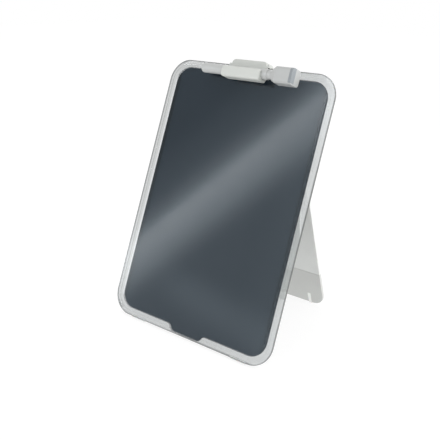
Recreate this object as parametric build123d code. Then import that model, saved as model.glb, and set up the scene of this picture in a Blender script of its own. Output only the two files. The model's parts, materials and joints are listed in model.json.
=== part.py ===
from build123d import *
from math import cos, radians, sin
import os

# Magnetic desk board on a folding easel leg, with a sprung pen clip and a capped marker.
#
# Every piece is first drawn in its own flat frame and then placed.
#   Board frame: X across, Y up the board from its bottom edge, Z out of the front face.
#   Leg frame:   the hinge axis is X, Y runs up the leg, Z faces the board when folded.
#   Pen frame:   the pen lies along X, with its axis on the origin.
# Part frame: the board leans back over the floor at Z = 0, its front faces -Y, and the
# origin is the middle of the whole part's footprint. Millimetres and degrees.

# ---- Board: clear frame, glass, enamel, steel and tape ----
board_width = 216.0
board_height = 297.0
board_corner = 24.5
board_lean = 22.0            # lean of the board back from upright
rim_side = 8.6               # clear border beside the glass
rim_end = 8.0                # clear border above and below the glass
rim_lip_width = 5.0          # outer band of the border, level with the front
rim_step = 0.5               # the inner band lies this much lower
rim_land = 1.6               # upright part of the frame's edge
rim_front_round = 0.6
edge_inset_side = 4.4        # how far the edge slopes in towards the back
edge_inset_bottom = 1.0
glass_recess = 0.2           # glass below the frame's front
glass_thickness = 4.0
glass_corner = 18.5
glass_polish = 0.3
glass_gap = 0.25             # glass to frame, all round, filled by a clear bead
seal_drop = 0.6              # bead below the frame's front
enamel_thickness = 0.2
enamel_inset = 0.4           # bare edge of the glass outside the enamel
steel_thickness = 0.8
steel_inset = 3.0            # steel sheet inside the glass outline: the frame's seat
steel_gap = 0.3
tape_thickness = 0.8
tape_width = 12.0
tape_inset = 2.0
floor_thickness = 2.4

# ---- Tab of the glass at the middle of the bottom border ----
tab_top_half = 26.6
tab_curve_run = 10.5
tab_drop = 6.5
tab_overlap = 6.0            # how far the tab's drawing runs up into the glass

# ---- Feet under the board ----
board_foot_inset = 38.0      # middle of each foot in from the board's side
board_foot_length = 20.0
board_foot_height = 0.8      # floor to the frame's lowest edge
board_foot_margin = 2.0      # foot to the bottom wall's front and back edges

# ---- Hinges ----
hinge_height = 228.0         # hinge axis up the board
hinge_spread = 48.0
pin_radius = 1.0
knuckle_radius = 2.1
knuckle_length = 7.0
knuckle_side_gap = 0.3
leaf_thickness = 0.8
leaf_length = 24.0           # hinge axis to the leaf's upper edge
leaf_corner = 2.0
pin_overhang = 0.4
hinge_screw_inset = 4.0      # screw to the leaf's side and upper edges
hinge_screw_row = 10.0       # lower row of screws above the hinge axis
running_clearance = 0.05

# ---- Screws ----
screw_shank_radius = 1.0
screw_head_radius = 1.9
screw_head_height = 0.9
screw_slot_width = 0.6
screw_slot_depth = 0.45
hinge_screw_grip = 2.2       # thread in the frame's floor

# ---- Folding leg ----
leg_angle = 40.0             # leg to board, standing
leg_width = 154.0
leg_thickness = 3.0
leg_corner = 15.0
leg_top_corner = 6.0
leg_edge_round = 0.7
heel_gap = 0.05              # heel to the board's back, standing
heel_top = 4.2               # leg above the hinge axis
leg_knuckle_gap = 0.15       # the leg's knuckle is this much smaller than the leaf's
notch_side_gap = 1.0         # hinge notch to the leaf's sides
notch_depth = 3.4            # hinge notch below the axis
boot_height = 47.0
boot_proud = 0.2             # boot beyond the leg on each face
tongue_thickness = 1.8
tongue_inset = 6.0           # tongue to the boot's sides
tongue_floor = 18.0          # solid end of the boot below the tongue
leg_foot_spread = 58.5
leg_foot_width = 4.0
leg_foot_reach = 14.0        # foot up each face of the boot
leg_foot_inlay = 0.9
leg_foot_height = 1.0        # floor to the boot's lowest edge

# ---- Pen clip ----
clip_width = 49.0
clip_wall = 2.75
clip_lip_rise = 3.5          # front lip above the pen's axis
clip_lip_corner = 1.2
clip_keel_back = 3.4         # square lower front: its back above the frame's front
clip_keel_round = 2.6
clip_keel_heel = 0.8
clip_end_corner = 3.0        # lower left corner, seen from the front
clip_wing_gap = 1.6          # top of the back wall below the board's top edge
clip_back_gap = 0.1          # back wall to the frame's front
clip_brow_front = 5.6        # brow that closes the view under the saddle
clip_brow_top = 0.2          # brow above the board's top edge
clip_brow_rise = 5.5         # brow's lower front edge above the pen's axis
clip_brow_slope = 1.5        # height of its slope down to the back wall
clip_swing_gap = 0.2         # brow to the saddle's lower front edge, at every angle
saddle_width = 45.4
saddle_front = 4.5           # saddle in front of the frame
saddle_top = 5.4             # saddle above the board
saddle_leg = 13.8            # back leg down from the board's top edge
saddle_wall = 1.8
saddle_gap = 0.05
saddle_corner = 4.8
saddle_foot_corner = 1.5
saddle_round = 0.8
saddle_face = 1.0            # wall in front of the slot
saddle_slot_half = 18.3      # slot for the hook's hinge, open below
saddle_slot_top = 4.4        # slot above the board's top edge
saddle_slot_back = -2.6
saddle_screw_spread = 14.0
saddle_screw_drop = 6.2      # screw below the board's top edge
saddle_screw_grip = 5.0
clip_pin_rise = 2.3          # clip pin above the board's top edge
clip_pin_front = 0.9         # clip pin in front of the frame
clip_pin_proud = 0.4         # clip pin beyond the saddle's sides
clip_knuckle_radius = 1.9
clip_knuckle_half = 18.0
clip_tongue = 1.9            # web between the hook's back wall and its hinge
clip_tongue_low = 0.2        # web beside the spring, above the board's top edge
spring_space_half = 5.5
spring_wire = 0.25           # wire radius
spring_coil_radius = 1.7
spring_turns = 6.25           # a left-hand coil, so that both legs leave it straight
spring_half = 4.2
spring_leg_drop = 2.8        # the leg on the hook, down from the clip pin
spring_leg_lean = -0.33      # and back, onto the hook's web
clip_pad_half = 20.0
clip_pad_drop = 5.6          # pad down from the pen's axis
clip_pad_top = 0.2           # pad's upper edge below the pen's axis
clip_pad_gap = 0.05          # pad to the glass

# ---- Marker ----
pen_drop = 8.9               # pen's axis below the board's top edge
pen_front = 8.4              # pen's axis in front of the frame
barrel_radius = 5.4
barrel_wall = 1.05
barrel_start = -53.0
barrel_end = 31.0
trough_clearance = 0.15
plug_length = 3.0
plug_round = 2.2
plug_spigot = 6.0
neck_radius = 4.7
neck_end = 39.0
neck_bore = 3.6
reservoir_clearance = 0.5
reservoir_margin = 2.0       # reservoir to the plug and to the tip holder
holder_insert = 8.0
holder_flange = 1.0
holder_flange_radius = 3.9
holder_nose = 6.0
holder_nose_radius = 1.9
nib_radius = 1.2
nib_out = 3.0
nib_in = 4.0                 # nib inside the reservoir

# ---- Marker's cap ----
cap_height = 17.5            # across the board's plane
cap_depth = 16.6             # away from the board
cap_corner = 3.6
cap_start = 36.5
cap_shoulder_end = 42.6
cap_end = 63.7
cap_mouth_radius = 6.2
cap_fit = 0.06               # cap over the pen's neck
cap_end_round = 0.6
cap_bore = 4.6
cap_bore_end = 54.0
sleeve_wall = 0.55
sleeve_start = 40.5
sleeve_end = 52.5
sleeve_end_wall = 1.2
felt_length = 3.3
felt_depth = 6.6             # felt in from the cap's front face
felt_lip = 1.4               # cap's lip under the felt

# ---- Sizes that follow from those above ----
glass_width = board_width - 2 * rim_side
glass_height = board_height - 2 * rim_end
glass_back = -(glass_recess + glass_thickness)
enamel_back = glass_back - enamel_thickness
steel_back = enamel_back - steel_thickness
tape_back = steel_back - tape_thickness
board_back = tape_back - floor_thickness
hinge_depth = board_back - knuckle_radius
leaf_width = 2 * (hinge_screw_inset + 2 * screw_head_radius + knuckle_length / 2 + 1)
pin_length = 3 * knuckle_length + 2 * knuckle_side_gap + 2 * pin_overhang
boot_thickness = leg_thickness + 2 * boot_proud
pen_height = board_height - pen_drop
pen_start = barrel_start - plug_length
trough_radius = barrel_radius + trough_clearance
clip_radius = trough_radius + clip_wall
clip_pin_height = board_height + clip_pin_rise
swing = leg_angle - board_lean
lean_cos, lean_sin = cos(radians(board_lean)), sin(radians(board_lean))
swing_cos, swing_sin = cos(radians(swing)), sin(radians(swing))


def height_over_board_origin(y, z):
    """Height of a point of the board frame when the board leans."""
    return y * lean_cos + z * lean_sin


floor_level = min(
    height_over_board_origin(0, -rim_land),
    height_over_board_origin(edge_inset_bottom, board_back),
) - board_foot_height
hinge_over_floor = height_over_board_origin(hinge_height, hinge_depth) - floor_level
leg_length = (hinge_over_floor - leg_foot_height - boot_thickness / 2 * swing_sin) / swing_cos

board_place = Pos(0, 0, -floor_level) * Rot(90 - board_lean, 0, 0)
leg_place = board_place * Pos(0, hinge_height, hinge_depth) * Rot(leg_angle, 0, 0)
pen_place = board_place * Pos(0, pen_height, pen_front)
SIDES = {"left": -1, "right": 1}


# ---- Small helpers ----
def block(x, y, z):
    """A box from three (low, high) pairs."""
    size = [high - low for low, high in (x, y, z)]
    middle = [(low + high) / 2 for low, high in (x, y, z)]
    return Pos(*middle) * Box(*size)


def rod(radius, start, end, y=0.0, z=0.0):
    """A round bar along X."""
    return Pos((start + end) / 2, y, z) * Rot(0, 90, 0) * Cylinder(radius, end - start)


def side_profile(points, half_width):
    """A prism along X from points given as (Y, Z)."""
    wire = Polyline([(0, y, z) for y, z in points], close=True)
    return extrude(make_face(wire), amount=half_width, dir=(1, 0, 0), both=True)


def down(face, top, bottom):
    """A slab below a flat outline drawn at Z = 0."""
    return Pos(0, 0, bottom) * extrude(face, amount=top - bottom, dir=(0, 0, 1))


def corner_edges(solid, axis, keep):
    """Edges along an axis whose middle passes a test."""
    return [edge for edge in solid.edges().filter_by(axis) if keep(edge.center())]


# ---- Board ----
def glass_outline(grow=0.0):
    """Rounded pane with the tab that runs down into the bottom border."""
    pane = Pos(0, board_height / 2) * RectangleRounded(
        glass_width + 2 * grow, glass_height + 2 * grow, glass_corner + grow
    )
    top = rim_end - grow
    bottom = rim_end - tab_drop - grow
    outer = tab_top_half + grow
    inner = outer - tab_curve_run
    half = Vector(outer - tab_curve_run / 2, (top + bottom) / 2)
    upper = top + tab_overlap
    edges = [
        Line((-outer, upper), (-outer, top)),
        TangentArc([(-outer, top), (-half.X, half.Y)], tangent=(1, 0)),
        TangentArc([(-inner, bottom), (-half.X, half.Y)], tangent=(-1, 0)),
        Line((-inner, bottom), (inner, bottom)),
        TangentArc([(inner, bottom), (half.X, half.Y)], tangent=(1, 0)),
        TangentArc([(outer, top), (half.X, half.Y)], tangent=(-1, 0)),
        Line((outer, top), (outer, upper)),
        Line((outer, upper), (-outer, upper)),
    ]
    return pane + make_face(edges)


def steel_outline(grow=0.0):
    inset = steel_inset - grow
    return Pos(0, board_height / 2) * RectangleRounded(
        glass_width - 2 * inset, glass_height - 2 * inset, glass_corner - inset
    )


def frame_outline(inset_side, inset_bottom):
    """Board outline, drawn in at the sides and top by one amount and at the bottom by another."""
    height = board_height - inset_side - inset_bottom
    return Pos(0, inset_bottom + height / 2) * RectangleRounded(
        board_width - 2 * inset_side, height, board_corner - inset_side
    )


def leaf_screw_places(side):
    """Board-frame places of one hinge leaf's four screws."""
    reach = leaf_width / 2 - hinge_screw_inset
    rows = (hinge_height + hinge_screw_row, hinge_height + leaf_length - hinge_screw_inset)
    return [(side * hinge_spread + dx, y) for dx in (-reach, reach) for y in rows]


def saddle_screw_places():
    return [(side * saddle_screw_spread, board_height - saddle_screw_drop) for side in (-1, 1)]


def clear_frame():
    front = frame_outline(0, 0)
    land = down(front, 0, -rim_land)
    land = fillet(land.edges().group_by(Axis.Z)[-1], rim_front_round)
    back = frame_outline(edge_inset_side, edge_inset_bottom)
    slope = loft([Pos(0, 0, board_back) * back, Pos(0, 0, -rim_land) * front], ruled=True)
    inner_band = frame_outline(rim_lip_width, rim_lip_width)
    body = land + slope
    body -= down(inner_band, rim_step, -rim_step)
    body -= down(glass_outline(glass_gap), rim_step, enamel_back)
    body -= down(steel_outline(steel_gap), 0, tape_back)
    for side in SIDES.values():
        for x, y in leaf_screw_places(side):
            body -= Pos(x, y, board_back + floor_thickness / 2) * Cylinder(
                screw_shank_radius, floor_thickness
            )
    for x, y in saddle_screw_places():
        body -= Pos(x, y, board_back + saddle_screw_grip / 2) * Cylinder(
            screw_shank_radius, saddle_screw_grip
        )
    return body


def glass_panel():
    pane = down(glass_outline(), -glass_recess, glass_back)
    return chamfer(pane.edges().group_by(Axis.Z)[-1], glass_polish)


def glass_seal():
    """Clear bead between the pane's sides and the frame."""
    return down(glass_outline(glass_gap), -seal_drop, glass_back) - down(
        glass_outline(), -seal_drop, glass_back
    )


def dark_enamel():
    return down(glass_outline(-enamel_inset), glass_back, enamel_back)


def steel_sheet():
    return down(steel_outline(), enamel_back, steel_back)


def foam_tapes():
    """Four strips that hold the steel to the frame's floor."""
    inset = steel_inset + tape_inset
    half_width = glass_width / 2 - inset - glass_corner / 2
    low = rim_end + inset
    high = board_height - rim_end - inset
    depth = (tape_back, steel_back)
    across = (-half_width, half_width)
    upright = (low + tape_width + tape_inset, high - tape_width - tape_inset)
    return {
        "foam_tape_bottom": block(across, (low, low + tape_width), depth),
        "foam_tape_top": block(across, (high - tape_width, high), depth),
        "foam_tape_left": block((-half_width, -half_width + tape_width), upright, depth),
        "foam_tape_right": block((half_width - tape_width, half_width), upright, depth),
    }


def board_foot(side, frame):
    """Rubber pad under the frame's bottom wall, cut level with the floor."""
    middle = side * (board_width / 2 - board_foot_inset)
    across = (middle - board_foot_length / 2, middle + board_foot_length / 2)
    depth = (board_back + board_foot_margin, -rim_land - board_foot_margin)
    pad = block(across, (-board_depth_span(), edge_inset_bottom), depth)
    return (board_place * (pad - frame)) & above_floor()


def board_depth_span():
    """Longer than any foot is deep, so that the floor cut decides its end."""
    return board_height / 10


def above_floor():
    span = 2 * board_height
    return block((-span, span), (-span, span), (0, span))


# ---- Hinges ----
def screw(grip, plate):
    """Pan head screw with its plate side at Z = 0, pointing up +Z."""
    shank = Pos(0, 0, (plate + grip) / 2) * Cylinder(screw_shank_radius, plate + grip)
    head = Pos(0, 0, -screw_head_height / 2) * Cylinder(screw_head_radius, screw_head_height)
    head = fillet(head.edges().group_by(Axis.Z)[0], screw_head_height / 2)
    slot = Pos(0, 0, screw_slot_depth / 2 - screw_head_height)
    for angle in (0, 90):
        head -= slot * Rot(0, 0, angle) * Box(
            1.3 * screw_head_radius, screw_slot_width, screw_slot_depth
        )
    return shank + head


def hinge_leaf(side):
    """Leaf on the board's back, with two knuckles rolled round the pin."""
    middle = side * hinge_spread
    half = leaf_width / 2
    outer = board_back - leaf_thickness
    plate = block(
        (middle - half, middle + half), (hinge_height, hinge_height + leaf_length), (outer, board_back)
    )
    top = hinge_height + leaf_length
    plate = fillet(corner_edges(plate, Axis.Z, lambda c: c.Y > top - leaf_corner), leaf_corner)
    outer_reach = 1.5 * knuckle_length + knuckle_side_gap
    inner_reach = knuckle_length / 2 + knuckle_side_gap
    low = (hinge_height - knuckle_radius, hinge_height + knuckle_radius + 2 * knuckle_side_gap)
    through = (outer - 1, board_back + 1)
    plate -= block((middle - inner_reach, middle + inner_reach), low, through)
    for way in (-1, 1):
        ends = sorted((middle + way * outer_reach, middle + way * (half + 1)))
        plate -= block(ends, low, through)
        start, end = sorted((middle + way * inner_reach, middle + way * outer_reach))
        plate += rod(knuckle_radius, start, end, hinge_height, hinge_depth)
    plate -= rod(pin_radius, middle - half, middle + half, hinge_height, hinge_depth)
    for x, y in leaf_screw_places(side):
        plate -= Pos(x, y, (outer + board_back) / 2) * Cylinder(screw_shank_radius, leaf_thickness)
    return plate


def hinge_pin(side):
    middle = side * hinge_spread
    pin = rod(pin_radius, middle - pin_length / 2, middle + pin_length / 2, hinge_height, hinge_depth)
    return chamfer(pin.edges().filter_by(GeomType.CIRCLE), pin_radius / 4)


def hinge_screws():
    outer = board_back - leaf_thickness
    one = screw(hinge_screw_grip, leaf_thickness)
    places = leaf_screw_places(-1) + leaf_screw_places(1)
    return [Pos(x, y, outer) * one for x, y in places]


# ---- Leg ----
def leg_heel_cut():
    """Everything of the leg that would lie inside the board's back when it stands."""
    limit = knuckle_radius - heel_gap
    span = leg_width
    return Rot(-leg_angle, 0, 0) * block((-span, span), (-span, span), (limit, limit + span))


def stand_plate():
    half = leg_width / 2
    low = -leg_length + boot_height
    plate = block((-half, half), (low, heel_top), (-leg_thickness / 2, leg_thickness / 2))
    plate = fillet(corner_edges(plate, Axis.Z, lambda c: c.Y > 0), leg_top_corner)
    plate = fillet(corner_edges(plate, Axis.Y, lambda c: True), leg_edge_round)
    tongue = block(
        (-half + tongue_inset, half - tongue_inset),
        (-leg_length + tongue_floor, low),
        (-tongue_thickness / 2, tongue_thickness / 2),
    )
    plate = plate + tongue - leg_heel_cut()
    for side in SIDES.values():
        middle = side * hinge_spread
        reach = leaf_width / 2 + notch_side_gap
        plate -= block(
            (middle - reach, middle + reach), (-notch_depth, heel_top + 1), (-leg_thickness, leg_thickness)
        )
        inner = knuckle_length / 2
        plate += block(
            (middle - inner, middle + inner), (-notch_depth, 0), (-leg_thickness / 2, leg_thickness / 2)
        )
        plate += rod(knuckle_radius - leg_knuckle_gap, middle - inner, middle + inner)
        plate -= rod(pin_radius + running_clearance, middle - reach, middle + reach)
    return plate


def leg_foot_boxes(side, grow):
    """The space a leg foot takes: up each face of the boot and under its end."""
    middle = side * leg_foot_spread
    across = (middle - leg_foot_width / 2, middle + leg_foot_width / 2)
    low = -leg_length - 4 * leg_foot_height
    high = -leg_length + leg_foot_reach
    outer = boot_thickness / 2
    inner = outer - leg_foot_inlay
    front = block(across, (low, high), (inner, outer + grow))
    back = block(across, (low, high), (-outer - grow, -inner))
    end = block(across, (low, -leg_length + leg_foot_inlay), (-outer - grow, outer + grow))
    return front + back + end


def foot_boot():
    half = leg_width / 2
    boot = block(
        (-half, half), (-leg_length, -leg_length + boot_height), (-boot_thickness / 2, boot_thickness / 2)
    )
    boot = fillet(corner_edges(boot, Axis.Z, lambda c: c.Y < -leg_length + leg_corner), leg_corner)
    boot = fillet(boot.edges().group_by(Axis.Z)[0] + boot.edges().group_by(Axis.Z)[-1], leg_edge_round)
    boot -= block(
        (-half + tongue_inset, half - tongue_inset),
        (-leg_length + tongue_floor, -leg_length + boot_height),
        (-tongue_thickness / 2, tongue_thickness / 2),
    )
    for side in SIDES.values():
        boot -= leg_foot_boxes(side, 1)
    return boot


def leg_foot(side):
    """Rubber foot let into the boot and cut level with the floor."""
    return (leg_place * leg_foot_boxes(side, 0)) & above_floor()


# ---- Clip ----
def clip_saddle():
    """Block over the board's top edge: it carries the clip's pin and grips the back."""
    top = board_height + saddle_top
    seat = board_height + saddle_gap
    inner_back = board_back - saddle_gap
    outer_back = inner_back - saddle_wall
    foot = board_height - saddle_leg
    shape = side_profile(
        [
            (seat, saddle_front),
            (top, saddle_front),
            (top, outer_back),
            (foot, outer_back),
            (foot, inner_back),
            (board_height - edge_inset_side + saddle_gap, inner_back),
            (seat, -rim_land),
        ],
        saddle_width / 2,
    )
    shape = fillet(corner_edges(shape, Axis.Z, lambda c: c.Y > top - 1), saddle_corner)
    shape = fillet(
        corner_edges(shape, Axis.Z, lambda c: c.Z < board_back and c.Y < foot + 1), saddle_foot_corner
    )
    shape = fillet(corner_edges(shape, Axis.X, lambda c: c.Y > top - 1), saddle_round)
    shape -= block(
        (-saddle_slot_half, saddle_slot_half),
        (board_height - 1, board_height + saddle_slot_top),
        (saddle_slot_back, saddle_front - saddle_face),
    )
    shape -= rod(pin_radius, -saddle_width, saddle_width, clip_pin_height, clip_pin_front)
    for x, y in saddle_screw_places():
        shape -= Pos(x, y, (inner_back + outer_back) / 2) * Cylinder(screw_shank_radius, 2 * saddle_wall)
    return shape


def saddle_screws():
    outer = board_back - saddle_gap - saddle_wall
    one = screw(saddle_screw_grip, saddle_wall + saddle_gap)
    return [Pos(x, y, outer) * one for x, y in saddle_screw_places()]


def clip_pin():
    half = saddle_width / 2 + clip_pin_proud
    pin = rod(pin_radius, -half, half, clip_pin_height, clip_pin_front)
    return chamfer(pin.edges().filter_by(GeomType.CIRCLE), clip_pin_proud / 2)


def clip_hook():
    """Open hook round the pen: back wall, bottom, square lower front and front lip."""
    half = clip_width / 2
    front = pen_front + clip_radius
    low = pen_height - clip_radius
    lip_top = pen_height + clip_lip_rise
    ring = rod(clip_radius, -half, half, pen_height, pen_front)
    ring -= block((-half - 1, half + 1), (pen_height, pen_height + clip_radius), (-clip_radius, front + 1))
    keel = block((-half, half), (low, pen_height), (clip_keel_back, front))
    keel = fillet(corner_edges(keel, Axis.X, lambda c: c.Y < low + 1 and c.Z > pen_front), clip_keel_round)
    keel = fillet(corner_edges(keel, Axis.X, lambda c: c.Y < low + 1 and c.Z < pen_front), clip_keel_heel)
    lip = block((-half, half), (pen_height - clip_wall, lip_top), (front - clip_wall, front))
    lip = fillet(corner_edges(lip, Axis.Z, lambda c: c.Y > pen_height), clip_lip_corner)
    lip = fillet([edge for edge in lip.edges() if edge.center().Y > lip_top - 0.01], clip_wall * 0.42)
    wall_top = board_height - clip_wing_gap
    wall = block((-half, half), (pen_height, wall_top), (clip_back_gap, pen_front - trough_radius))
    return ring + keel + lip + wall


def clip_brow():
    """Ledge above the back wall, hollowed so that the saddle's lower edge clears it as it turns."""
    slope_top = pen_height + clip_brow_rise
    reach = Vector(saddle_gap - clip_pin_rise, saddle_front - clip_pin_front).length
    ledge = side_profile(
        [
            (slope_top - clip_brow_slope, clip_back_gap + clip_wall / 2),
            (slope_top - clip_brow_slope, pen_front - trough_radius),
            (slope_top, clip_brow_front),
            (board_height + clip_brow_top, clip_brow_front),
            (board_height + clip_brow_top, clip_back_gap + clip_wall / 2),
        ],
        clip_width / 2,
    )
    return ledge - rod(reach + clip_swing_gap, -clip_width, clip_width, clip_pin_height, clip_pin_front)


def clip_jaw():
    """Hook and brow, with the hinge's tongue and knuckle above."""
    half = clip_width / 2
    wall_top = board_height - clip_wing_gap
    hinge = block(
        (-clip_knuckle_half, clip_knuckle_half),
        (wall_top - 1, clip_pin_height),
        (clip_back_gap, clip_back_gap + clip_tongue),
    )
    hinge += rod(clip_knuckle_radius, -clip_knuckle_half, clip_knuckle_half, clip_pin_height, clip_pin_front)
    jaw = clip_hook() + clip_brow() + hinge
    jaw -= rod(trough_radius, -half - 1, half + 1, pen_height, pen_front)
    jaw -= block(
        (-spring_space_half, spring_space_half),
        (board_height + clip_tongue_low, clip_pin_height + 2 * clip_knuckle_radius),
        (-clip_radius, clip_radius),
    )
    jaw -= rod(pin_radius + running_clearance, -half, half, clip_pin_height, clip_pin_front)
    jaw -= block((-half - 1, half + 1), (0, board_height), (clip_back_gap - clip_radius, clip_back_gap))
    low = pen_height - clip_radius
    corner = Pos(-half + clip_end_corner, low + clip_end_corner) * Circle(clip_end_corner)
    square = Pos(-half, low) * Rectangle(clip_end_corner, clip_end_corner, align=(Align.MIN, Align.MIN))
    return jaw - down(square - corner, pen_front + 2 * clip_radius, -clip_radius)


def clip_pad():
    """Rubber wedge between the hook's round back and the glass."""
    pad = block(
        (-clip_pad_half, clip_pad_half),
        (pen_height - clip_pad_drop, pen_height - clip_pad_top),
        (clip_pad_gap - glass_recess, pen_front / 2),
    )
    return pad - rod(clip_radius, -clip_width, clip_width, pen_height, pen_front)


def clip_spring():
    """Torsion spring round the clip's pin, one leg on the hook and one in the saddle."""
    pitch = 2 * spring_half / spring_turns
    coil_path = Pos(-spring_half, clip_pin_height, clip_pin_front) * Helix(
        pitch, 2 * spring_half, spring_coil_radius, direction=(1, 0, 0), lefthand=True
    )
    start = coil_path @ 0
    end = coil_path @ 1
    profile = Plane(origin=start, z_dir=coil_path % 0) * Circle(spring_wire)
    coil = sweep(profile, path=coil_path, is_frenet=True)
    hook_end = Vector(start.X, clip_pin_height - spring_leg_drop, start.Z + spring_leg_lean)
    hook_leg = wire_leg(start, hook_end)
    return coil + hook_leg + wire_leg(end, Vector(end.X, end.Y, saddle_slot_back + 3 * spring_wire))


def wire_leg(start, end):
    along = end - start
    leg = Plane(origin=start, z_dir=along) * Pos(0, 0, along.length / 2)
    return leg * Cylinder(spring_wire, along.length)


# ---- Marker ----
def pen_barrel():
    barrel = rod(barrel_radius, barrel_start, barrel_end)
    barrel = fillet(barrel.edges().filter_by(GeomType.CIRCLE).group_by(Axis.X)[-1], 0.4)
    barrel += rod(neck_radius, barrel_end - 1, neck_end)
    barrel -= rod(barrel_radius - barrel_wall, barrel_start, barrel_end - barrel_wall)
    return barrel - rod(neck_bore, barrel_end - 2 * barrel_wall, neck_end)


def pen_end_plug():
    flange = rod(barrel_radius, pen_start, barrel_start)
    flange = fillet(flange.edges().filter_by(GeomType.CIRCLE).group_by(Axis.X)[0], plug_round)
    return flange + rod(barrel_radius - barrel_wall, barrel_start, barrel_start + plug_spigot)


def nib_start():
    return neck_end - holder_insert - reservoir_margin - nib_in


def ink_reservoir():
    start = barrel_start + plug_spigot + reservoir_margin
    end = neck_end - holder_insert - reservoir_margin
    thin = barrel_end - 3 * barrel_wall
    body = rod(barrel_radius - barrel_wall - reservoir_clearance, start, thin)
    body += rod(neck_bore - reservoir_clearance, thin, end)
    return body - rod(nib_radius, nib_start(), end)


def nib_holder():
    holder = rod(neck_bore, neck_end - holder_insert, neck_end)
    holder += rod(holder_flange_radius, neck_end, neck_end + holder_flange)
    nose = neck_end + holder_flange
    holder += Pos(nose + holder_nose / 2, 0, 0) * Rot(0, 90, 0) * Cone(
        neck_bore, holder_nose_radius, holder_nose
    )
    return holder - rod(nib_radius, neck_end - holder_insert, nose + holder_nose)


def pen_nib():
    tip = neck_end + holder_flange + holder_nose + nib_out
    nib = rod(nib_radius, nib_start(), tip)
    return fillet(nib.edges().filter_by(GeomType.CIRCLE).group_by(Axis.X)[-1], nib_radius * 0.75)


# ---- Cap ----
def cap_outer():
    square = Plane.YZ * RectangleRounded(cap_height, cap_depth, cap_corner)
    mouth = Plane.YZ * Circle(cap_mouth_radius)
    body = Pos(cap_shoulder_end, 0, 0) * extrude(
        square, amount=cap_end - cap_shoulder_end, dir=(1, 0, 0)
    )
    body = fillet(body.edges().group_by(Axis.X)[-1], cap_end_round)
    shoulder = loft([Pos(cap_start, 0, 0) * mouth, Pos(cap_shoulder_end, 0, 0) * square])
    return body + shoulder


def felt_space():
    """Corner of the cap that the felt fills: at the front, above the cap's lower lip."""
    return block(
        (cap_end - felt_length, cap_end + 1),
        (felt_lip - cap_height / 2, cap_height),
        (cap_depth / 2 - felt_depth, cap_depth),
    )


def pen_cap():
    cap = cap_outer() - felt_space()
    cap -= rod(neck_radius + cap_fit, cap_start - 1, neck_end + holder_flange / 2)
    return cap - rod(cap_bore, neck_end, cap_bore_end)


def cap_felt():
    return cap_outer() & felt_space()


def cap_sleeve():
    sleeve = rod(cap_bore, sleeve_start, sleeve_end)
    return sleeve - rod(cap_bore - sleeve_wall, sleeve_start, sleeve_end - sleeve_end_wall)


# ---- Assembly ----
def build_parts():
    frame = clear_frame()
    board = {
        "clear_frame": frame,
        "glass_panel": glass_panel(),
        "glass_seal": glass_seal(),
        "dark_enamel": dark_enamel(),
        "steel_sheet": steel_sheet(),
        "hinge_screws": hinge_screws(),
        "clip_saddle": clip_saddle(),
        "saddle_screws": saddle_screws(),
        "clip_pin": clip_pin(),
        "clip_jaw": clip_jaw(),
        "clip_pad": clip_pad(),
        "clip_spring": clip_spring(),
    }
    board.update(foam_tapes())
    leg = {"stand_plate": stand_plate(), "foot_boot": foot_boot()}
    pen = {
        "pen_barrel": pen_barrel(),
        "pen_end_plug": pen_end_plug(),
        "ink_reservoir": ink_reservoir(),
        "nib_holder": nib_holder(),
        "pen_nib": pen_nib(),
        "pen_cap": pen_cap(),
        "cap_sleeve": cap_sleeve(),
        "cap_felt": cap_felt(),
    }
    placed = {}
    for side_name, side in SIDES.items():
        board[f"hinge_leaf_{side_name}"] = hinge_leaf(side)
        board[f"hinge_pin_{side_name}"] = hinge_pin(side)
        placed[f"board_foot_{side_name}"] = board_foot(side, frame)
        placed[f"leg_foot_{side_name}"] = leg_foot(side)
    for place, group in ((board_place, board), (leg_place, leg), (pen_place, pen)):
        for name, shape in group.items():
            pieces = shape if isinstance(shape, list) else [shape]
            placed[name] = Compound([place * piece for piece in pieces])
    return placed


def centred(parts):
    """Move the parts so that the origin is the middle of the footprint, on the floor."""
    box = Compound(list(parts.values())).bounding_box()
    shift = Pos(-box.center().X, -box.center().Y, -box.min.Z)
    return {name: shift * shape for name, shape in parts.items()}


def main():
    os.makedirs("parts", exist_ok=True)
    for name, shape in centred(build_parts()).items():
        shape.label = name
        export_step(shape, f"parts/{name}.step")


main()
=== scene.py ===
"""Looks of the desk board: finishes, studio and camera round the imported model.

Lengths are in metres, unless a name or a comment says mm.
"""
import json
import math

import bpy
from mathutils import Euler, Matrix, Vector

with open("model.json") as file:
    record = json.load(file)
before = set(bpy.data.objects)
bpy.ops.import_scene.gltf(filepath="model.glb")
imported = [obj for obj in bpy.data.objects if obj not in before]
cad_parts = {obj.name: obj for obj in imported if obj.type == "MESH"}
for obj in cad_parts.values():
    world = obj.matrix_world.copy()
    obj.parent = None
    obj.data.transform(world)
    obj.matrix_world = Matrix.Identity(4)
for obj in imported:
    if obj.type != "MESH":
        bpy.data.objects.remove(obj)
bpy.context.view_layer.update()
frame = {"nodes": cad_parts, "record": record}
scene = bpy.context.scene
MM = 0.001
WHITE = (1.0, 1.0, 1.0)

# ---- Camera, fitted to the board's outline in the photograph ----
PICTURE_SIDE = 440                     # px
SENSOR = 36.0                          # mm
FOCAL_PX = 684.5
CENTRE_PX = (227.8, 190.0)             # where the optical axis meets the picture
CAMERA_AT = Vector((0.43224, -0.56565, 0.36914))
CAMERA_TURN = (72.68, -0.72, 38.05)    # degrees

# ---- Board, as the part's source has it ----
BOARD_LEAN = 22.0                      # degrees
BOARD_HALF_HEIGHT = 148.5              # mm
BOARD_FRONT_LOW = Vector((0, -82.753, 3.019)) * MM     # middle of the board's bottom edge
LEAN_SINE, LEAN_COSINE = math.sin(math.radians(BOARD_LEAN)), math.cos(math.radians(BOARD_LEAN))
BOARD_UP = Vector((0, LEAN_SINE, LEAN_COSINE))
BOARD_OUT = Vector((0, -LEAN_COSINE, LEAN_SINE))
BOARD_MIDDLE = BOARD_FRONT_LOW + BOARD_UP * BOARD_HALF_HEIGHT * MM
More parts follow.
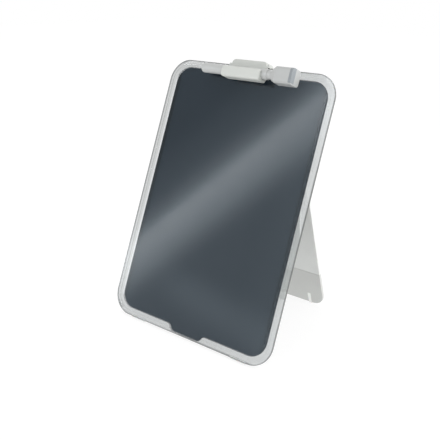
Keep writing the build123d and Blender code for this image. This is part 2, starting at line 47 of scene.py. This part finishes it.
# Half sizes of two rectangles in the board's plane. Grown by 24.5 mm, the first is the board's
# outline. Grown by 18.5 mm, the second is the pane's.
BOARD_CORE = (83.5 * MM, 124.0 * MM)
PANE_CORE = (80.9 * MM, 122.0 * MM)

# ---- Clear body: pane, bead and frame ----
BOND_DEPTHS = (-4.3, -0.55)            # mm behind the front: where the bead joins pane and frame
BOND_REACH = 25.9 * MM                 # past PANE_CORE: takes in the pane's tab, not the outer edge
WALL_TILT = 0.3                        # a face that turns this little to the front is a wall
STRAIGHT_PER_TURN = 0.75               # share of the light that each turn inside sends straight on
SHADED_EDGE_BAND = (23.3 * MM, 24.1 * MM)     # past BOARD_CORE: painted shade darkens the frame's edge between these
FRAME_TINT = (0.68, 0.695, 0.69)       # of the frame, away from that edge
FRAME_EDGE_PAINTED_SHADE = (0.16, 0.17, 0.17)   # and at it, where the darker tint is painted shade
# Share of the light that goes straight on, through each surface of (lower at the frame's edge, as
# painted shade):
FRAME_CLEAR = 0.92
FRAME_EDGE_SHADED_CLEAR = 0.45
PANE_CLEAR = 0.95
BEAD_CLEAR = 0.97
PLASTIC_IOR = 1.49
GLASS_IOR = 1.5

# ---- Pane and the coat behind it, which share the board's dark tone ----
GREY_TINT = (0.194, 0.197, 0.198)      # of the glass
BARE_TINT = (0.97, 0.985, 0.99)        # of the glass by its left and right sides
BARE_SIDE = (96.5 * MM, 98.1 * MM)     # from the middle line: one gives way to the other here
COAT_TONES = ((0.0250, 0.0389, 0.0557), (0.0279, 0.0419, 0.0594))
COAT_SIDE_TONE = (0.0085, 0.0130, 0.0175)
COAT_SIDE = (92.5 * MM, 95.5 * MM)     # from the middle line: and here the coat darkens to it

# ---- Studio ----
FLOOR_SIDE = 8.0
FLOOR_WHITE = 0.80                     # of white, where a shadow is deepest
FAR_THROUGH = 0.55                     # of white, the far backdrop through clear pieces
FADE_AWAY = (1.0, 1.9)                 # where the floor seen through them fades to it
FLOOR_SHADOW = 0.25                    # how much of the floor's white the shadow can take
LIGHTS = {
    # name: (place, side of the square, power in watts); each one faces the object
    "right_softbox": ((1.5, 0.1, 0.5), 0.9, 13.0),
    "top_softbox": ((-0.3, -0.5, 1.9), 1.1, 3.0),
    "front_softbox": ((-0.9, -1.7, 0.8), 1.2, 2.5),
}
AIM = Vector((0, 0, 0.14))
AMBIENT = 0.82                         # from the room, on everything
FLOOR_BOUNCE = 1.02                    # from the floor, on everything

# ---- Card that the glass mirrors, parallel to the board ----
CARD_AWAY = 1.17                       # in front of the glass
CARD_MAGNIFIES = 3.0                   # a mm on the board shows this many on the card
CARD_CENTRE_SEEN = (0.0, BOARD_HALF_HEIGHT)    # board point that shows the card's middle, mm
CARD_SIDE_SEEN = (330.0, 420.0)        # board size that the card covers, mm
CARD_FIRM = (0.70, 0.75)               # share of each half side before it fades into the room
BAND_SLOPE = 1.03                      # the bright band climbs this much per mm across
# (height up the board's middle line in mm, card strength), from below the band to above it
BAND = (
    (90, 1.41), (105, 1.6), (120, 2.3), (140, 3.5), (160, 4.35), (174, 4.75), (180, 4.6),
    (188, 3.25), (196, 2.4), (206, 1.85), (220, 1.33), (235, 1.13), (250, 1.04), (290, 0.74),
)
GLOW = 0.6                             # strength of a softer, lower band
GLOW_HEIGHT = (44.0, -0.15, 34.0)      # its height up the middle line, climb and half width, mm
GLOW_START = (-85.0, 0.0)              # it fades in between these places across, mm
SIDE_GLOW = 0.22                       # strength of the wash by the right edge
SIDE_START = (55.0, 100.0)             # it fades in between these places across, mm
DIM_TINT = (0.76, 0.90, 1.0)
BRIGHT_TINT = (0.86, 0.94, 1.0)


def board_to_row(x, y, z):
    """A point of the board's own frame, in mm, as a point of the row frame."""
    return BOARD_FRONT_LOW + Vector((x * MM, 0, 0)) + BOARD_UP * y * MM + BOARD_OUT * z * MM


def shade(level, tint=WHITE):
    return tuple(level * part for part in tint)


# ---- Small helpers for node materials ----
class Nodes:
    """Short names for building one material's nodes."""

    def __init__(self, name):
        self.prepare(bpy.data.materials.new(name), "ShaderNodeOutputMaterial")

    def prepare(self, owner, output):
        self.owner = owner
        owner.use_nodes = True
        self.tree = owner.node_tree
        self.tree.nodes.clear()
        self.output = self.new(output)

    def done(self, shader):
        self.link(shader, self.output.inputs["Surface"])
        return self.owner

    def new(self, kind, **settings):
        node = self.tree.nodes.new(kind)
        for key, value in settings.items():
            setattr(node, key, value)
        return node

    def link(self, start, end):
        self.tree.links.new(start, end)

    def put(self, node, socket, value):
        """A constant, or another node's output, into a socket."""
        if isinstance(value, bpy.types.NodeSocket):
            self.link(value, node.inputs[socket])
        else:
            node.inputs[socket].default_value = value

    def put_colour(self, node, socket, value):
        """The same for a colour, whose constant has three numbers."""
        self.put(node, socket, value if isinstance(value, bpy.types.NodeSocket) else (*value, 1))

    # -- numbers and vectors --
    def math(self, operation, *values):
        """A number worked out from constants or other nodes' outputs."""
        node = self.new("ShaderNodeMath", operation=operation)
        for socket, value in enumerate(values):
            self.put(node, socket, value)
        return node.outputs[0]

    def vector(self, operation, *values):
        """The same for vectors; a dot product or a length comes out as a number."""
        node = self.new("ShaderNodeVectorMath", operation=operation)
        for socket, value in enumerate(values):
            self.put(node, socket, value)
        return node.outputs["Value" if operation in ("DOT_PRODUCT", "LENGTH") else "Vector"]

    def split(self, vector):
        """A vector's outputs X, Y and Z."""
        node = self.new("ShaderNodeSeparateXYZ")
        self.link(vector, node.inputs[0])
        return node.outputs

    def where(self):
        """Position in the object's own coordinates."""
        return self.new("ShaderNodeTexCoord").outputs["Object"]

    def place(self):
        """The same in millimetres."""
        node = self.new("ShaderNodeVectorMath", operation="SCALE")
        self.link(self.where(), node.inputs[0])
        node.inputs["Scale"].default_value = 1 / MM
        return node.outputs[0]

    def aside(self):
        """Distance to the left or right from the board's middle line."""
        return self.math("ABSOLUTE", self.split(self.where())["X"])

    def on_board(self, core):
        """Place from the board's middle, and how far that is outside a core rectangle."""
        here = self.vector("SUBTRACT", self.where(), BOARD_MIDDLE)
        flat = self.new("ShaderNodeCombineXYZ")
        self.put(flat, "X", self.vector("DOT_PRODUCT", here, (1, 0, 0)))
        self.put(flat, "Y", self.vector("DOT_PRODUCT", here, BOARD_UP))
        past_core = self.vector("SUBTRACT", self.vector("ABSOLUTE", flat.outputs[0]), (*core, 0))
        return here, self.vector("LENGTH", self.vector("MAXIMUM", past_core, (0, 0, 0)))

    # -- patterns --
    def noise(self, size_mm, detail=3.0, rough=0.5, place=None):
        """Noise with lumps of about this size."""
        node = self.new("ShaderNodeTexNoise")
        self.link(place or self.place(), node.inputs["Vector"])
        node.inputs["Scale"].default_value = 1 / size_mm
        node.inputs["Detail"].default_value = detail
        node.inputs["Roughness"].default_value = rough
        return node.outputs["Fac"]

    def spread(self, value, low, high, start=0.3, end=0.7):
        """Maps a range, by default the middle of what noise gives, to another."""
        node = self.new("ShaderNodeMapRange")
        self.link(value, node.inputs["Value"])
        limits = {"From Min": start, "From Max": end, "To Min": low, "To Max": high}
        for socket, number in limits.items():
            node.inputs[socket].default_value = number
        return node.outputs["Result"]

    def fade(self, value, start, end):
        """Smoothly from 0 at the start to 1 at the end."""
        node = self.new("ShaderNodeMapRange", interpolation_type="SMOOTHSTEP")
        self.link(value, node.inputs["Value"])
        node.inputs["From Min"].default_value = start
        node.inputs["From Max"].default_value = end
        return node.outputs["Result"]

    def blend(self, value, dark, light):
        """Colour between two, by a value from 0 to 1."""
        node = self.new("ShaderNodeMix", data_type="RGBA")
        self.put(node, "Factor", value)
        self.put_colour(node, "A", dark)
        self.put_colour(node, "B", light)
        return node.outputs["Result"]

    def bump(self, height, depth_mm, strength=1.0, under=None):
        node = self.new("ShaderNodeBump")
        self.link(height, node.inputs["Height"])
        node.inputs["Distance"].default_value = depth_mm * MM
        node.inputs["Strength"].default_value = strength
        if under:
            self.link(under, node.inputs["Normal"])
        return node.outputs["Normal"]

    # -- shaders --
    def principled(self, **inputs):
        node = self.new("ShaderNodeBsdfPrincipled")
        for socket, value in inputs.items():
            self.put(node, socket.replace("_", " "), value)
        return node.outputs[0]

    def emission(self, colour, strength=1.0):
        node = self.new("ShaderNodeEmission")
        self.put_colour(node, "Color", colour)
        self.put(node, "Strength", strength)
        return node.outputs[0]

    def add(self, shader, other):
        """The light of two shaders together."""
        node = self.new("ShaderNodeAddShader")
        self.link(shader, node.inputs[0])
        self.link(other, node.inputs[1])
        return node.outputs[0]

    def mix(self, mask, shader, other):
        """The shader where the mask is 0, and the other one where it is 1."""
        node = self.new("ShaderNodeMixShader")
        for socket, value in enumerate((mask, shader, other)):
            self.link(value, node.inputs[socket])
        return node.outputs[0]

    def or_clear(self, mask, shader, clear=WHITE):
        """The shader, but where the mask is 1 light goes straight through it."""
        through = self.new("ShaderNodeBsdfTransparent")
        self.put_colour(through, "Color", clear)
        return self.mix(mask, shader, through.outputs[0])

    def light_through(self, shader, clear):
        """The shader, but soft light passes straight to what lies behind, and so does most light
        that has already turned inside a clear piece."""
        path = self.new("ShaderNodeLightPath")
        soft = self.math("MAXIMUM", path.outputs["Is Shadow Ray"], path.outputs["Is Diffuse Ray"])
        turned = self.math("MULTIPLY", path.outputs["Ray Depth"], STRAIGHT_PER_TURN)
        return self.or_clear(self.math("MAXIMUM", soft, turned), shader, clear)

    def bonded(self, shader):
        """The shader, but walls that the clear bead joins let the light straight on, so that pane,
        bead and frame show as one clear body."""
        here, reach = self.on_board(PANE_CORE)
        normal = self.new("ShaderNodeTexCoord").outputs["Normal"]
        tilt = self.math("ABSOLUTE", self.vector("DOT_PRODUCT", normal, BOARD_OUT))
        wall = self.math("LESS_THAN", tilt, WALL_TILT)
        depth = self.vector("DOT_PRODUCT", here, BOARD_OUT)
        middle = sum(BOND_DEPTHS) / 2 * MM
        half = (BOND_DEPTHS[1] - BOND_DEPTHS[0]) / 2 * MM
        wetted = self.math("COMPARE", depth, middle, half)
        inner = self.math("LESS_THAN", reach, BOND_REACH)
        joined = self.math("MULTIPLY", self.math("MULTIPLY", wall, wetted), inner)
        return self.or_clear(joined, shader)


class WorldNodes(Nodes):
    """The same short names for the world's own nodes."""

    def __init__(self, world):
        self.prepare(world, "ShaderNodeOutputWorld")


# ---- Finishes ----
def moulded_plastic(name, colour, roughness, grain_mm=0.35, grain_depth=0.012, tone=0.02):
    """Opaque moulded plastic: spark-eroded grain, faint flow tone, and handled patches that are
    a little smoother."""
    n = Nodes(name)
    flow = n.noise(26.0, detail=2.0)
    grain = n.noise(grain_mm, detail=2.0, rough=0.6)
    wear = n.noise(9.0, detail=4.0, rough=0.55)
    return n.done(n.principled(
        Base_Color=n.blend(n.spread(flow, 0, 1), shade(1 - tone, colour), shade(1 + tone, colour)),
        Roughness=n.spread(wear, roughness - 0.07, roughness + 0.07),
        Normal=n.bump(grain, grain_depth, 0.5),
        IOR=PLASTIC_IOR,
    ))


def clear_plastic():
    """Clear polished moulding with a little haze, long shallow flow waves, and painted shade
    that darkens its outer edge."""
    n = Nodes("clear_plastic_finish")
    waves = n.noise(38.0, detail=1.0)
    haze = n.noise(12.0)
    # painted shade: the outer edge is darkened, in colour and in the light let through
    shaded_edge = n.fade(n.on_board(BOARD_CORE)[1], *SHADED_EDGE_BAND)
    plastic = n.principled(
        Base_Color=n.blend(shaded_edge, FRAME_TINT, FRAME_EDGE_PAINTED_SHADE),
        Roughness=n.spread(haze, 0.03, 0.08),
        IOR=PLASTIC_IOR,
        Transmission_Weight=0.97,
        Normal=n.bump(waves, 0.05, 0.4),
    )
    through = n.blend(shaded_edge, shade(FRAME_CLEAR), shade(FRAME_EDGE_SHADED_CLEAR))
    return n.done(n.bonded(n.light_through(plastic, through)))


def pane_glass():
    """Polished grey float glass with faint wipe marks, clear by its left and right sides."""
    n = Nodes("pane_glass_finish")
    wiped = n.noise(24.0, detail=5.0, rough=0.6)
    glass = n.principled(
        Base_Color=n.blend(n.fade(n.aside(), *BARE_SIDE), GREY_TINT, BARE_TINT),
        Roughness=n.spread(wiped, 0.04, 0.08),
        IOR=GLASS_IOR,
        Transmission_Weight=1.0,
    )
    return n.done(n.bonded(n.light_through(glass, shade(PANE_CLEAR))))


def clear_silicone():
    """Clear cured bead between the pane and the frame, drawn smooth along its length."""
    n = Nodes("clear_silicone_finish")
    drawn = n.noise(3.0, detail=2.0)
    silicone = n.principled(
        Base_Color=(0.97, 0.975, 0.97, 1),
        Roughness=n.spread(drawn, 0.05, 0.12),
        IOR=PLASTIC_IOR,
        Transmission_Weight=1.0,
    )
    return n.done(n.bonded(n.light_through(silicone, shade(BEAD_CLEAR))))


def enamel():
    """Slate coat behind the glass, a little uneven, and darker by its left and right sides."""
    n = Nodes("enamel_finish")
    tone = n.noise(40.0)
    slate = n.blend(n.spread(tone, 0, 1), *COAT_TONES)
    return n.done(n.principled(
        Base_Color=n.blend(n.fade(n.aside(), *COAT_SIDE), slate, COAT_SIDE_TONE),
        Roughness=0.9,
        Specular_IOR_Level=0.0,
    ))


def steel(name, level, roughness, stretch=(0.02, 1.0, 1.0)):
    """Rolled steel, with its grain drawn out along one direction."""
    n = Nodes(name)
    grain = n.noise(0.25, rough=0.6, place=n.vector("MULTIPLY", n.place(), stretch))
    stain = n.noise(14.0, detail=4.0)
    dark, light = shade(level * 0.92), shade(level, (1.0, 1.01, 1.02))
    return n.done(n.principled(
        Base_Color=n.blend(n.spread(stain, 0, 1), dark, light),
        Metallic=1.0,
        Roughness=n.spread(grain, roughness - 0.08, roughness + 0.1),
        Normal=n.bump(grain, 0.006, 0.6),
    ))


def soft_rubber(name, colour, roughness=0.55):
    """Slightly see-through rubber with a fine grain and a little dust."""
    n = Nodes(name)
    grain = n.noise(0.5, rough=0.6)
    dust = n.noise(5.0, detail=4.0)
    return n.done(n.principled(
        Base_Color=n.blend(n.spread(dust, 0, 1), shade(0.93, colour), colour),
        Roughness=n.spread(dust, roughness - 0.06, roughness + 0.1),
        Normal=n.bump(grain, 0.02, 0.5),
        Subsurface_Weight=0.12,
        Subsurface_Scale=1.5 * MM,
    ))


def foam(name, colour, cell_mm=0.45):
    """Closed-cell foam: small round pits all over, painted darker inside as shade."""
    n = Nodes(name)
    cells = n.new("ShaderNodeTexVoronoi")
    n.link(n.place(), cells.inputs["Vector"])
    cells.inputs["Scale"].default_value = 1 / cell_mm
    pits_and_shade = cells.outputs["Distance"]
    return n.done(n.principled(
        # the pits' bottoms are painted darker: painted shade
        Base_Color=n.blend(n.spread(pits_and_shade, 0, 1, 0, 0.7), shade(0.8, colour), colour),
        Roughness=0.85,
        Normal=n.bump(pits_and_shade, 0.08, 0.7),
    ))


def pressed_felt(name, dark, light, fibre_mm=0.22):
    """Matted wool: fine crossed fibres with softer clumps."""
    n = Nodes(name)
    place = n.place()
    one_way, other_way = (
        n.noise(fibre_mm, rough=0.65, place=n.vector("MULTIPLY", place, stretch))
        for stretch in ((1.0, 0.22, 1.0), (0.3, 1.0, 0.8))
    )
    fibres = n.math("MAXIMUM", one_way, other_way)
    clumps = n.noise(2.2)
    return n.done(n.principled(
        Base_Color=n.blend(n.spread(fibres, 0, 1, 0.4, 0.75), dark, light),
        Roughness=0.95,
        Sheen_Weight=0.25,
        Sheen_Roughness=0.5,
        Normal=n.bump(clumps, 0.1, 0.4, n.bump(fibres, 0.09, 0.9)),
    ))


CLIP_GREY = (0.575, 0.59, 0.56)
PEN_GREY = (0.49, 0.50, 0.495)
CAP_GREY = (0.455, 0.465, 0.46)
LEG_GREY = (0.63, 0.645, 0.63)
BOOT_GREY = (0.50, 0.51, 0.495)
HOLDER_BLACK = (0.05, 0.05, 0.055)
ANY_WAY = (1.0, 1.0, 1.0)              # steel grain that isn't drawn out
FINISHES = {
    "clear_plastic": clear_plastic(),
    "pane_glass": pane_glass(),
    "clear_silicone": clear_silicone(),
    "dark_enamel": enamel(),
    "sheet_steel": steel("sheet_steel_finish", 0.5, 0.36),
    "foam_tape": foam("foam_tape_finish", (0.80, 0.80, 0.78)),
    "hinge_steel": steel("hinge_steel_finish", 0.58, 0.28),
    "screw_steel": steel("screw_steel_finish", 0.60, 0.24, ANY_WAY),
    "spring_steel": steel("spring_steel_finish", 0.55, 0.22),
    "clear_rubber": soft_rubber("clear_rubber_finish", (0.74, 0.76, 0.75)),
    "foot_rubber": soft_rubber("foot_rubber_finish", (0.80, 0.81, 0.79)),
    "leg_plastic": moulded_plastic("leg_plastic_finish", LEG_GREY, 0.40),
    "boot_plastic": moulded_plastic("boot_plastic_finish", BOOT_GREY, 0.50, 0.5, 0.02),
    "clip_plastic": moulded_plastic("clip_plastic_finish", CLIP_GREY, 0.36),
    "pen_plastic": moulded_plastic("pen_plastic_finish", PEN_GREY, 0.34),
    "cap_plastic": moulded_plastic("cap_plastic_finish", CAP_GREY, 0.40),
    "holder_plastic": moulded_plastic("holder_plastic_finish", HOLDER_BLACK, 0.4, tone=0.05),
    "ink_fibre": pressed_felt("ink_fibre_finish", (0.03, 0.03, 0.035), (0.09, 0.09, 0.1)),
    "nib_fibre": pressed_felt("nib_fibre_finish", (0.01, 0.01, 0.012), (0.05, 0.05, 0.055), 0.12),
    "felt": pressed_felt("felt_finish", (0.23, 0.25, 0.265), (0.34, 0.365, 0.385)),
}

for entry in frame["record"]["subparts"]:
    data = frame["nodes"][entry["node"]].data
    data.materials.clear()
    data.materials.append(FINISHES[entry["material_slot"]])

# Opaque pieces that touch clear ones are let into them by a hair, as if wetted by glue, so that
# no two surfaces share one place.
SEATED = ["dark_enamel", "hinge_screws", "saddle_screws", "foam_tape_bottom", "foam_tape_top"]
SEATED += [
    f"{piece}_{side}"
    for piece in ("foam_tape", "hinge_leaf", "board_foot")
    for side in ("left", "right")
]
SEAT_DEPTH = 0.03 * MM
for name in SEATED:
    seat = frame["nodes"][name].modifiers.new("seat", "DISPLACE")
    seat.strength = SEAT_DEPTH
    seat.mid_level = 0.0

# Beside the cap, the glass mirrors only the card's soft band.
for name in ("pen_cap", "cap_sleeve", "cap_felt"):
    frame["nodes"][name].visible_glossy = False


# ---- Making the studio ----
def backdrop_strength(n, lighting, white, through):
    """How bright the backdrop is: to light the object, to be seen or mirrored, and as seen
    through clear pieces."""
    path = n.new("ShaderNodeLightPath")
    seen = n.math("MAXIMUM", path.outputs["Is Camera Ray"], path.outputs["Is Glossy Ray"])
    beyond = n.math("SUBTRACT", through, lighting)
    clear = n.math("MULTIPLY", path.outputs["Is Transmission Ray"], beyond)
    return n.math("ADD", n.math("MULTIPLY_ADD", seen, white - lighting, lighting), clear)


def make_world():
    world = bpy.data.worlds.new("studio")
    scene.world = world
    n = WorldNodes(world)
    background = n.new("ShaderNodeBackground")
    n.put_colour(background, "Color", WHITE)
    n.put(background, "Strength", backdrop_strength(n, AMBIENT, 1, FAR_THROUGH))
    n.done(background.outputs[0])


def square(name, side):
    """A flat square mesh, facing +Z."""
    mesh = bpy.data.meshes.new(name)
    h = side / 2
    mesh.from_pydata([(-h, -h, 0), (h, -h, 0), (h, h, 0), (-h, h, 0)], [], [(0, 1, 2, 3)])
    made = bpy.data.objects.new(name, mesh)
    scene.collection.objects.link(made)
    return made


def make_floor():
    """Pale floor: it takes the object's shadow, and otherwise shows as white as the backdrop."""
    floor = square("floor", FLOOR_SIDE)
    n = Nodes("floor_finish")
    lit = n.new("ShaderNodeBsdfDiffuse")
    n.put_colour(lit, "Color", shade(FLOOR_SHADOW))
    away = n.vector("LENGTH", n.where())
    through = n.spread(away, FLOOR_WHITE, FAR_THROUGH, *FADE_AWAY)
    glow = n.emission(WHITE, backdrop_strength(n, FLOOR_BOUNCE, FLOOR_WHITE, through))
    floor.data.materials.append(n.done(n.add(lit.outputs[0], glow)))


def make_lights():
    for name, (place, side, power) in LIGHTS.items():
        data = bpy.data.lights.new(name, "AREA")
        data.shape = "SQUARE"
        data.size = side
        data.energy = power
        light = bpy.data.objects.new(name, data)
        light.location = place
        light.rotation_mode = "QUATERNION"
        light.rotation_quaternion = (AIM - Vector(place)).to_track_quat("-Z", "Y")
        light.visible_glossy = False
        light.visible_transmission = False
        scene.collection.objects.link(light)


def card_place(x, y):
    """Where on the card's plane the camera sees a board point mirrored, in board mm."""
    eye = CAMERA_AT - BOARD_FRONT_LOW
    eye_x, eye_y = eye.x / MM, eye.dot(BOARD_UP) / MM
    grow = CARD_MAGNIFIES - 1
    return Vector((x + grow * (x - eye_x), y + grow * (y - eye_y), CARD_AWAY / MM))


def band_light(n, height):
    """Light of the card's diagonal band, by the height at which it meets the middle line."""
    ramp = n.new("ShaderNodeValToRGB")
    low, high = BAND[0][0], BAND[-1][0]
    top = max(strength for _, strength in BAND)
    stops = ramp.color_ramp.elements
    while len(stops) < len(BAND):
        stops.new(0.5)                 # each one is moved to its place below
    for stop, (at, strength) in zip(stops, BAND):
        stop.position = (at - low) / (high - low)
        share = strength / top
        tint = [dim + share * (bright - dim) for dim, bright in zip(DIM_TINT, BRIGHT_TINT)]
        stop.color = (*shade(share, tint), 1)
    n.link(n.spread(height, 0, 1, low, high), ramp.inputs["Fac"])
    return n.emission(ramp.outputs["Color"], top)


def wash_light(n, across, height):
    """Light of the card's softer, lower band and of the wash by the right edge."""
    at_middle, climb, half = GLOW_HEIGHT
    level = n.math("MULTIPLY_ADD", across, -climb, height)
    off_line = n.math("ABSOLUTE", n.math("SUBTRACT", level, at_middle))
    low_glow = n.math("MULTIPLY", n.fade(off_line, half, 0), n.fade(across, *GLOW_START))
    side_glow = n.math("MULTIPLY", n.fade(across, *SIDE_START), SIDE_GLOW)
    return n.emission(DIM_TINT, n.math("MULTIPLY_ADD", low_glow, GLOW, side_glow))


def make_card():
    """Softbox band on a dim flag, which only reflections see: the diagonal sheen of the glass."""
    card = square("mirrored_card", 2)  # so its own coordinates run from -1 to 1
    wide, tall = (side * CARD_MAGNIFIES * MM for side in CARD_SIDE_SEEN)
    turn = Euler((math.radians(90 - BOARD_LEAN), 0, 0)).to_matrix().to_4x4()
    move = Matrix.Translation(board_to_row(*card_place(*CARD_CENTRE_SEEN)))
    card.matrix_world = move @ turn @ Matrix.Diagonal((wide / 2, tall / 2, 1, 1))
    n = Nodes("mirrored_card_finish")
    own = n.split(n.where())
    across, height = (
        n.math("MULTIPLY_ADD", own[axis], side / 2, centre)
        for axis, side, centre in zip("XY", CARD_SIDE_SEEN, CARD_CENTRE_SEEN)
    )
    band = band_light(n, n.math("MULTIPLY_ADD", across, -BAND_SLOPE, height))
    lit = n.add(band, wash_light(n, across, height))
    firm_across = n.fade(n.math("ABSOLUTE", own["X"]), 1, CARD_FIRM[0])
    firm_up = n.fade(n.math("ABSOLUTE", own["Y"]), 1, CARD_FIRM[1])
    inside = n.math("MULTIPLY", firm_across, firm_up)
    room = n.emission(WHITE)
    card.data.materials.append(n.done(n.mix(inside, room, lit)))
    for kind in ("camera", "diffuse", "transmission", "volume_scatter", "shadow"):
        setattr(card, f"visible_{kind}", False)


def make_camera():
    data = bpy.data.cameras.new("camera")
    data.sensor_width = SENSOR
    data.lens = FOCAL_PX / PICTURE_SIDE * SENSOR
    data.shift_x = (PICTURE_SIDE / 2 - CENTRE_PX[0]) / PICTURE_SIDE
    data.shift_y = (CENTRE_PX[1] - PICTURE_SIDE / 2) / PICTURE_SIDE
    camera = bpy.data.objects.new("camera", data)
    camera.location = CAMERA_AT
    camera.rotation_euler = Euler([math.radians(part) for part in CAMERA_TURN])
    scene.collection.objects.link(camera)
    scene.camera = camera


scene.view_settings.view_transform = "Standard"
make_world()
make_floor()
make_lights()
make_card()
make_camera()
